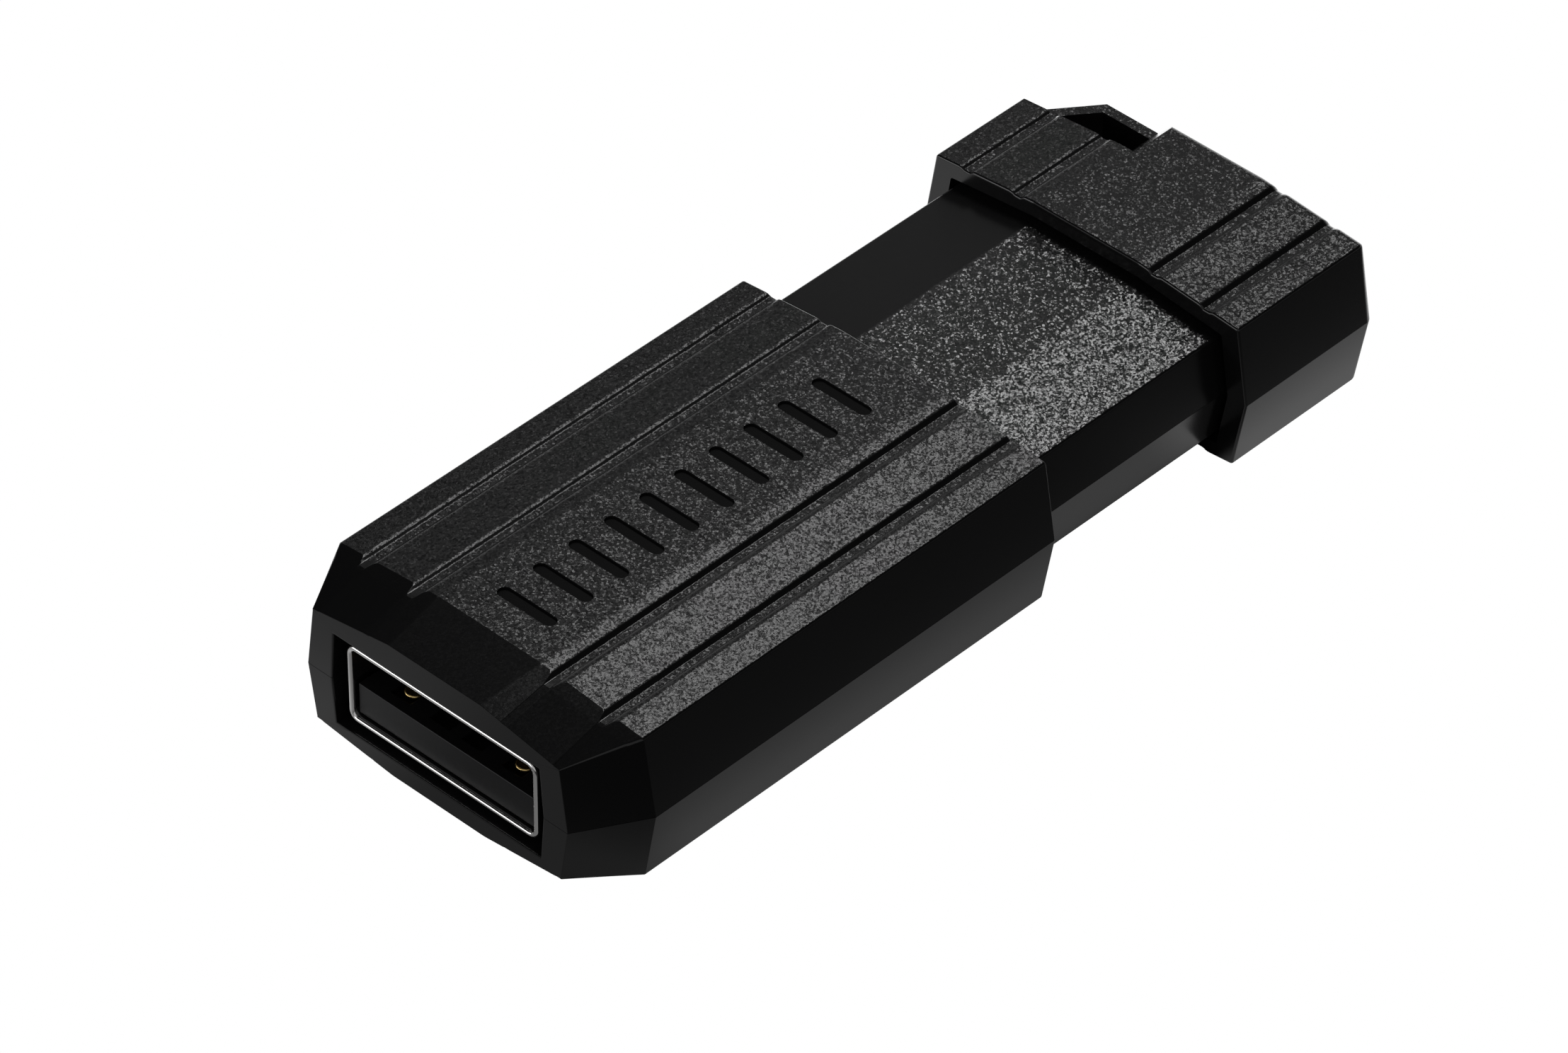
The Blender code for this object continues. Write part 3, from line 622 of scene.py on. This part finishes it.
bore_outline = inset(CORE_HALF, -SLIDE_CLEARANCE)
for shell_name, side, body, nose in (
    ("sleeve_upper", 1, BODY_UP, NOSE_UP),
    ("sleeve_lower", -1, BODY_DOWN, NOSE_DOWN),
):
    shell = shell_half(shell_name, side, body, nose, bore_outline)
    tools = [guide_slots(side)]
    if side > 0:
        tools.append(thumb_bars())
    cut(shell, *tools)
    dress(shell, SHELL, "sleeve", [shell_name + "_shell"])

# ---- slider core -----------------------------------------------------------------------------


def core_half(name, side):
    """One half of the slider's core: a skin with an open end wall in front."""
    outline = CORE_HALF
    inner = inset(outline, CORE_WALL)
    rings = []
    for distance, amount in reversed(rounding(3, CORE_ROUND)):
        rings.append((CORE_FRONT + distance, inset(outline, amount)))
    for distance, amount in rounding(3, CORE_ROUND):
        rings.append((CORE_REAR - distance, inset(outline, amount)))
    outside = [ring_at(y, half_outline(o, side)) for y, o in rings]
    model = half_outline(outline, side)
    inner_rings = [
        (CORE_FRONT, CORE_WINDOW),
        (CORE_FRONT + CORE_END_WALL, CORE_WINDOW),
        (CORE_FRONT + CORE_END_WALL, inner),
        (CORE_REAR - CORE_END_WALL, inner),
    ]
    inside = [ring_at(y, like(o, side, outline, model)) for y, o in reversed(inner_rings)]
    bm = bmesh.new()
    add_rings(bm, outside + inside, closed_rings=False, closed_loop=True)
    return mesh_object(name, bm)


for shell_name, side in (("slider_upper", 1), ("slider_lower", -1)):
    shell = core_half(shell_name, side)
    lugs = bmesh.new()
    crest = roof_at(CORE_HALF, LUG_X)
    heights = (side * (crest + LUG_HEIGHT), side * (crest - LUG_ROOT))
    for x in (-LUG_X, LUG_X):
        add_box(lugs, (x - LUG_HALF_WIDTH, x + LUG_HALF_WIDTH), (LUG_FRONT, LUG_REAR), heights)
    cut(shell, mesh_object("lugs", lugs), operation="UNION")
    dress(shell, CORE, "slider", [shell_name + "_shell"])

# ---- rear grip -------------------------------------------------------------------------------

BAR_TOP, BAR_BOTTOM = 3.48, -3.40
NOTCH_FRONT = 48.75
NOTCH_TOP_X, NOTCH_FLOOR_X = -2.40, -3.56
BAR_THICKNESS = 0.60
BAR_CORNER_X, BAR_SIDE_X = -6.82, -9.20
GRIP_FRONT_ROUND, GRIP_REAR_ROUND = 0.12, 0.55
GRIP_CLEARANCE = 0.30
GRIP_SOCKET_REAR = 47.5
NOTCH_RISE = 4


def grip():
    """The cap on the slider's tail, with its notched corner and the keyring bar across it."""
    front_rounding = reversed(rounding(3, GRIP_FRONT_ROUND))
    rings = [(GRIP_FRONT + distance, amount) for distance, amount in front_rounding]
    rings += [(TOTAL_LENGTH - distance, amount) for distance, amount in rounding(8, GRIP_REAR_ROUND)]
    outside = []
    for y, amount in rings:
        upper = half_outline(inset(BODY_UP, amount), 1, BODY_UP, amount)
        lower = half_outline(inset(BODY_DOWN, amount), -1, BODY_DOWN, amount)
        loop = upper[1:-1] + [(-BODY_HALF_WIDTH + amount, PARTING)]
        loop += lower[-2:0:-1] + [(BODY_HALF_WIDTH - amount, PARTING)]
        outside.append(ring_at(y, loop))
    bm = bmesh.new()
    add_rings(bm, outside, closed_rings=True, closed_loop=False)
    obj = mesh_object("grip_cap", bm)

    socket = bmesh.new()
    clear = inset(CORE_HALF, -GRIP_CLEARANCE)
    points = half_outline(clear, 1) + half_outline(clear, -1)[::-1]
    add_prism(socket, points, GRIP_FRONT - MARGIN, GRIP_SOCKET_REAR, 1)
    notches = []
    slope = (NOTCH_TOP_X - NOTCH_FLOOR_X) / (BODY_UP[3] - BAR_TOP)
    for level, side in ((BAR_TOP, 1), (BAR_BOTTOM, -1)):
        bm = bmesh.new()
        outline = [
            (-FAR, level),
            (NOTCH_FLOOR_X, level),
            (NOTCH_FLOOR_X + slope * NOTCH_RISE, level + side * NOTCH_RISE),
            (-FAR, level + side * NOTCH_RISE),
        ]
        add_prism(bm, outline, NOTCH_FRONT, TOTAL_LENGTH + MARGIN, 1)
        notches.append(mesh_object("notch", bm))
    run = (TOTAL_LENGTH - NOTCH_FRONT) / (BAR_CORNER_X - BAR_SIDE_X)
    corner = bmesh.new()
    outline = [
        (BAR_CORNER_X + MARGIN, TOTAL_LENGTH + MARGIN * run),
        (BAR_SIDE_X, NOTCH_FRONT),
        (-FAR, NOTCH_FRONT),
        (-FAR, TOTAL_LENGTH + FAR),
    ]
    add_prism(corner, outline, -TALL, TALL, 2)
    inner_y = TOTAL_LENGTH - BAR_THICKNESS
    slant = BAR_THICKNESS * math.hypot(1.0, run) / run
    slot = bmesh.new()
    outline = [
        (BAR_SIDE_X + slant, NOTCH_FRONT),
        (BAR_SIDE_X + slant + (inner_y - NOTCH_FRONT) / run, inner_y),
        (NOTCH_FLOOR_X, inner_y),
        (NOTCH_FLOOR_X, NOTCH_FRONT),
    ]
    add_prism(slot, outline, -TALL, TALL, 2)
    cutters = [mesh_object("socket", socket), *notches]
    cutters += [mesh_object("corner", corner), mesh_object("slot", slot)]
    return cut(obj, *cutters)


dress(grip(), SHELL, "slider", ["rear_grip"])

# ---- plug ------------------------------------------------------------------------------------

PLUG_FRONT, PLUG_REAR, SHEET = 0.30, 18.30, 0.30
PLUG_HALF_WIDTH, PLUG_HALF_HEIGHT, PLUG_CORNER = 6.0, 2.25, 0.6
PLUG_EDGE = 0.15
WINDOW_X, WINDOW_HALF_WIDTH = 2.56, 1.25
WINDOW_FRONT, WINDOW_REAR = 5.6, 7.8
LEG_OUTLINE = ((17.5, 0.6), (17.5, -1.4), (18.7, -1.4), (19.1, -2.2), (20.0, -2.2), (20.0, 0.6))

TONGUE_HALF_WIDTH, TONGUE_HALF_HEIGHT = 5.55, 1.83
TONGUE_FRONT, TONGUE_TOP = 0.6, -0.1
BLOCK_FRONT = 12.6
CHANNEL_HALF_WIDTH = 0.62
CHANNEL_FRONT = 1.2

# Each spring's place across the plug, and where its round front end is
CONTACTS = {
    "contact_power": (3.5, 1.6),
    "contact_data_minus": (1.0, 2.6),
    "contact_data_plus": (-1.0, 2.6),
    "contact_ground": (-3.5, 1.6),
}
CONTACT_HALF_WIDTH = 0.5
CONTACT_REAR = 20.1
CONTACT_BOTTOM, CONTACT_TOP = -0.40, -0.18


def rounded_rectangle(half_width, half_height, radius, steps=6):
    points = []
    for quarter, (sx, sz) in enumerate(((1, 1), (-1, 1), (-1, -1), (1, -1))):
        x, z = sx * (half_width - radius), sz * (half_height - radius)
        for step in range(steps + 1):
            angle = math.radians(90 * quarter + 90 * step / steps)
            points.append((x + radius * math.cos(angle), z + radius * math.sin(angle)))
    return points


def plug_shell():
    """The folded sheet of the plug, with its latch windows and the legs at its rear."""
    rim = rounding(5, PLUG_EDGE)
    rings = [(PLUG_FRONT + distance, amount) for distance, amount in reversed(rim)]
    rings += [(PLUG_REAR, 0.0), (PLUG_REAR, SHEET)]
    rings += [(PLUG_FRONT + distance, SHEET - amount) for distance, amount in rim]
    bm = bmesh.new()
    loops = [
        ring_at(y, rounded_rectangle(PLUG_HALF_WIDTH - a, PLUG_HALF_HEIGHT - a, PLUG_CORNER - a))
        for y, a in rings
    ]
    add_rings(bm, loops, closed_rings=True, closed_loop=True)
    shell = mesh_object("plug_case", bm)
    windows = bmesh.new()
    for x in (-WINDOW_X, WINDOW_X):
        across = (x - WINDOW_HALF_WIDTH, x + WINDOW_HALF_WIDTH)
        add_box(windows, across, (WINDOW_FRONT, WINDOW_REAR), (-4, 4))
    legs = bmesh.new()
    for hand in (-1, 1):
        add_prism(legs, LEG_OUTLINE, hand * PLUG_HALF_WIDTH, hand * (PLUG_HALF_WIDTH - SHEET), 0)
    cut(shell, mesh_object("windows", windows))
    cut(shell, mesh_object("legs", legs), operation="UNION")
    return shell


dress(plug_shell(), NICKEL, "slider", ["plug_shell"])


def insulator():
    """The tongue under the contacts and the block that closes the plug behind it."""
    bm = bmesh.new()
    profile = [
        (TONGUE_FRONT, -TONGUE_HALF_HEIGHT),
        (PLUG_REAR, -TONGUE_HALF_HEIGHT),
        (PLUG_REAR, TONGUE_HALF_HEIGHT),
        (BLOCK_FRONT, TONGUE_HALF_HEIGHT),
        (BLOCK_FRONT, TONGUE_TOP),
        (TONGUE_FRONT, TONGUE_TOP),
    ]
    add_prism(bm, profile, -TONGUE_HALF_WIDTH, TONGUE_HALF_WIDTH, 0)
    obj = mesh_object("plug_tongue", bm)
    channels = bmesh.new()
    for x in (-3.5, -1.0, 1.0, 3.5):
        across = (x - CHANNEL_HALF_WIDTH, x + CHANNEL_HALF_WIDTH)
        add_box(channels, across, (CHANNEL_FRONT, PLUG_REAR + MARGIN), (-0.5, 0.03))
    cut(obj, mesh_object("channels", channels))
    return soften(obj, 0.05)


dress(insulator(), NYLON_AND_SHADE, "slider", ["plug_insulator"])

for node, (x, tip) in CONTACTS.items():
    bm = bmesh.new()
    half = CONTACT_HALF_WIDTH
    outline = [(x + half, CONTACT_REAR), (x - half, CONTACT_REAR)]
    for step in range(13):
        angle = math.pi + math.pi * step / 12
        outline.append((x + half * math.cos(angle), tip + half + half * math.sin(angle)))
    add_prism(bm, outline, CONTACT_BOTTOM, CONTACT_TOP, 2)
    dress(soften(mesh_object(node + "_spring", bm), 0.10), GOLD, "slider", [node])

# ---- inside ----------------------------------------------------------------------------------


def chip_material(name, half_length, half_width=None):
    """Moulded epoxy with a laser-dulled top, and tinned leads past the body's sides."""
    material, shader = principled(name, EPOXY, 0.45)
    tree = material.node_tree
    low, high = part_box(name)
    place = tree.nodes.new("ShaderNodeSeparateXYZ")
    tree.links.new(tree.nodes.new("ShaderNodeTexCoord").outputs["Object"], place.inputs[0])
    leads = 0.0
    middle = (low + high) / 2
    for axis, centre, half in (("X", middle.x, half_width), ("Y", middle.y, half_length)):
        if half:
            reach = math_node(tree, "ABSOLUTE", math_node(tree, "SUBTRACT", place.outputs[axis], centre))
            past = ramp_node(tree, reach, half * MM, (half + 0.01) * MM)
            leads = math_node(tree, "MAXIMUM", past, leads)
    tree.links.new(ramp_node(tree, leads, 0.0, 1.0, 0.45, 0.22), shader.inputs["Roughness"])
    tree.links.new(leads, shader.inputs["Metallic"])
    blend = tree.nodes.new("ShaderNodeMix")
    blend.data_type = "RGBA"
    tree.links.new(leads, blend.inputs["Factor"])
    blend.inputs["A"].default_value = (*EPOXY, 1.0)
    blend.inputs["B"].default_value = (*TIN, 1.0)
    tree.links.new(blend.outputs["Result"], shader.inputs["Base Color"])
    return material


def finish_nodes(material, slot, *names):
    for name in names:
        obj = bpy.data.objects[name]
        obj.data.materials[0] = material


SOLDER_MASK, _ = principled("green_solder_mask", (0.008, 0.085, 0.035), 0.22, Coat_Weight=0.4)
CAN, _ = principled("brushed_can", (0.72, 0.72, 0.72), 0.28, 1.0)
CERAMIC, _ = principled("tan_ceramic", (0.42, 0.29, 0.18), 0.42)
FERRITE, _ = principled("dark_ceramic", (0.05, 0.05, 0.055), 0.38)
finish_nodes(SOLDER_MASK, "circuit_board", "circuit_board")
finish_nodes(chip_material("flash_memory_chip", 9.2), "chip_epoxy", "flash_memory_chip")
finish_nodes(chip_material("controller_chip", 3.5, 3.5), "chip_epoxy", "controller_chip")
finish_nodes(CAN, "crystal_can", "crystal")
finish_nodes(CERAMIC, "capacitor_ceramic", "bulk_capacitor", *(f"chip_capacitor_{n}" for n in range(1, 5)))
finish_nodes(FERRITE, "resistor_body", "ferrite_bead", *(f"chip_resistor_{n}" for n in range(1, 5)))

# ---- stage -----------------------------------------------------------------------------------


# How bright the floor looks in the drive's reflections: (axis, from, to, level at from, level at
# to), added up
CARD_LEVELS = (("Y", -24, -18, 0.15, 0.27), ("Y", 14, 19, 0.0, 0.29))


def floor_material():
    """White to the camera. Reflections see another brightness, set by place: a painted shadow under the
    drive, pale painted light close beside it that fades outwards, and bright far behind."""
    material = bpy.data.materials.new("floor")
    material.use_nodes = True
    tree = material.node_tree
    tree.nodes.clear()
    place = tree.nodes.new("ShaderNodeSeparateXYZ")
    tree.links.new(tree.nodes.new("ShaderNodeNewGeometry").outputs["Position"], place.inputs[0])
    beside = math_node(tree, "SUBTRACT", place.outputs["X"], BODY_HALF_WIDTH * MM)
    beside = math_node(tree, "MAXIMUM", beside, 0.0)
    near = math_node(tree, "EXPONENT", math_node(tree, "MULTIPLY", beside, -1.0 / (3.0 * MM)))
    level = 0.0
    for axis, start, end, to_start, to_end in CARD_LEVELS:
        step = ramp_node(tree, place.outputs[axis], start * MM, end * MM, to_start, to_end)
        level = math_node(tree, "ADD", step, level)
    left = ramp_node(tree, place.outputs["X"], -1 * MM, -9 * MM, 0.0, 0.26)
    forward = ramp_node(tree, place.outputs["Y"], -33 * MM, -27 * MM, 0.3, 1.0)
    left = math_node(tree, "MULTIPLY", left, forward)
    level = math_node(tree, "MULTIPLY", math_node(tree, "ADD", level, left), near)
    under = ramp_node(tree, math_node(tree, "ABSOLUTE", place.outputs["X"]), 8 * MM, 9 * MM)
    before = ramp_node(tree, place.outputs["Y"], -25 * MM, -26 * MM)
    hole = ramp_node(tree, place.outputs["Y"], 20 * MM, 22 * MM)
    open_floor = math_node(tree, "MAXIMUM", math_node(tree, "MAXIMUM", under, before), hole)
    # Kept dark under the drive: a painted shadow in the reflections.
    level = math_node(tree, "MULTIPLY", level, open_floor)
    faint = ramp_node(tree, place.outputs["Y"], -26 * MM, -15 * MM, 0.02, 0.045)
    level = math_node(tree, "ADD", level, math_node(tree, "MULTIPLY", faint, under))
    behind = ramp_node(tree, place.outputs["Y"], 29 * MM, 35 * MM, 0.0, 1.1)
    behind = math_node(tree, "MULTIPLY", behind, ramp_node(tree, place.outputs["X"], 15 * MM, 5 * MM))
    level = math_node(tree, "ADD", level, behind)
    paths = tree.nodes.new("ShaderNodeLightPath")
    seen = tree.nodes.new("ShaderNodeEmission")
    seen.inputs["Strength"].default_value = 1.0
    card = tree.nodes.new("ShaderNodeEmission")
    tree.links.new(level, card.inputs["Strength"])
    mix = tree.nodes.new("ShaderNodeMixShader")
    tree.links.new(paths.outputs["Is Camera Ray"], mix.inputs[0])
    tree.links.new(card.outputs[0], mix.inputs[1])
    tree.links.new(seen.outputs[0], mix.inputs[2])
    output = tree.nodes.new("ShaderNodeOutputMaterial")
    tree.links.new(mix.outputs[0], output.inputs["Surface"])
    material.cycles.emission_sampling = "NONE"
    return material


def floor():
    mesh = bpy.data.meshes.new("floor")
    reach = 3.0
    corners = [(-reach, -reach, 0), (reach, -reach, 0), (reach, reach, 0), (-reach, reach, 0)]
    mesh.from_pydata(corners, [], [(0, 1, 2, 3)])
    mesh.materials.append(floor_material())
    obj = bpy.data.objects.new("floor", mesh)
    obj.location.z = -0.00002
    bpy.context.scene.collection.objects.link(obj)


floor()

world = bpy.data.worlds.new("surroundings")
bpy.context.scene.world = world
world.use_nodes = True
tree = world.node_tree
facing = tree.nodes.new("ShaderNodeSeparateXYZ")
tree.links.new(tree.nodes.new("ShaderNodeTexCoord").outputs["Generated"], facing.inputs[0])
glow = ramp_node(tree, facing.outputs["X"], -0.15, -0.62)
glow = math_node(tree, "MULTIPLY", glow, ramp_node(tree, facing.outputs["Y"], 0.30, 0.55))
glow = math_node(tree, "MULTIPLY", glow, ramp_node(tree, facing.outputs["Z"], 0.90, 0.20, 0.05, 0.24))
low_down = ramp_node(tree, facing.outputs["Z"], 0.40, 0.15)
horizon = math_node(tree, "MULTIPLY", low_down, ramp_node(tree, facing.outputs["Y"], 0.55, 0.75))
glow = math_node(tree, "ADD", glow, math_node(tree, "MULTIPLY", horizon, 0.8))
across = math_node(tree, "SUBTRACT", facing.outputs["X"], facing.outputs["Y"])
above = ramp_node(tree, facing.outputs["Z"], 0.0, 0.1, 0.0, 0.35)
fill = math_node(tree, "MULTIPLY", ramp_node(tree, across, 0.2, 0.8), above)
glow = math_node(tree, "ADD", glow, fill)
tree.links.new(math_node(tree, "ADD", glow, 0.012), tree.nodes["Background"].inputs["Strength"])
tree.nodes["Background"].inputs["Color"].default_value = (1, 1, 1, 1)


def softbox(name, direction, distance, size, radiance):
    """A rectangular light that faces the drive; radiance is what a mirror would show of it."""
    light = bpy.data.lights.new(name, "AREA")
    light.shape = "RECTANGLE"
    light.size, light.size_y = size
    light.energy = radiance * math.pi * size[0] * size[1]
    obj = bpy.data.objects.new(name, light)
    toward = Vector(direction).normalized()
    obj.location = toward * distance
    obj.rotation_mode = "QUATERNION"
    obj.rotation_quaternion = toward.to_track_quat("Z", "Y")
    bpy.context.scene.collection.objects.link(obj)
    return obj


softbox("back_softbox", (-0.29, 0.46, 0.84), 0.38, (0.10, 0.09), 7.4)
softbox("front_softbox", (-0.50, -0.84, 0.17), 0.8, (0.8, 0.34), 2.6)

# ---- camera ----------------------------------------------------------------------------------

camera_data = bpy.data.cameras.new("camera")
camera_data.lens = 190.4
camera_data.sensor_width = 36.0
camera_data.clip_start = 0.01
camera = bpy.data.objects.new("camera", camera_data)
bpy.context.scene.collection.objects.link(camera)
bpy.context.scene.camera = camera
eye = Vector((0.19890, -0.21327, 0.24984))
target = Vector((-0.001665, -0.001851, 0.001571))
camera.location = eye
camera.rotation_mode = "QUATERNION"
roll = Matrix.Rotation(math.radians(0.288), 4, "Z").to_quaternion()
camera.rotation_quaternion = (target - eye).to_track_quat("-Z", "Y") @ roll
bpy.context.scene.view_settings.view_transform = "Standard"
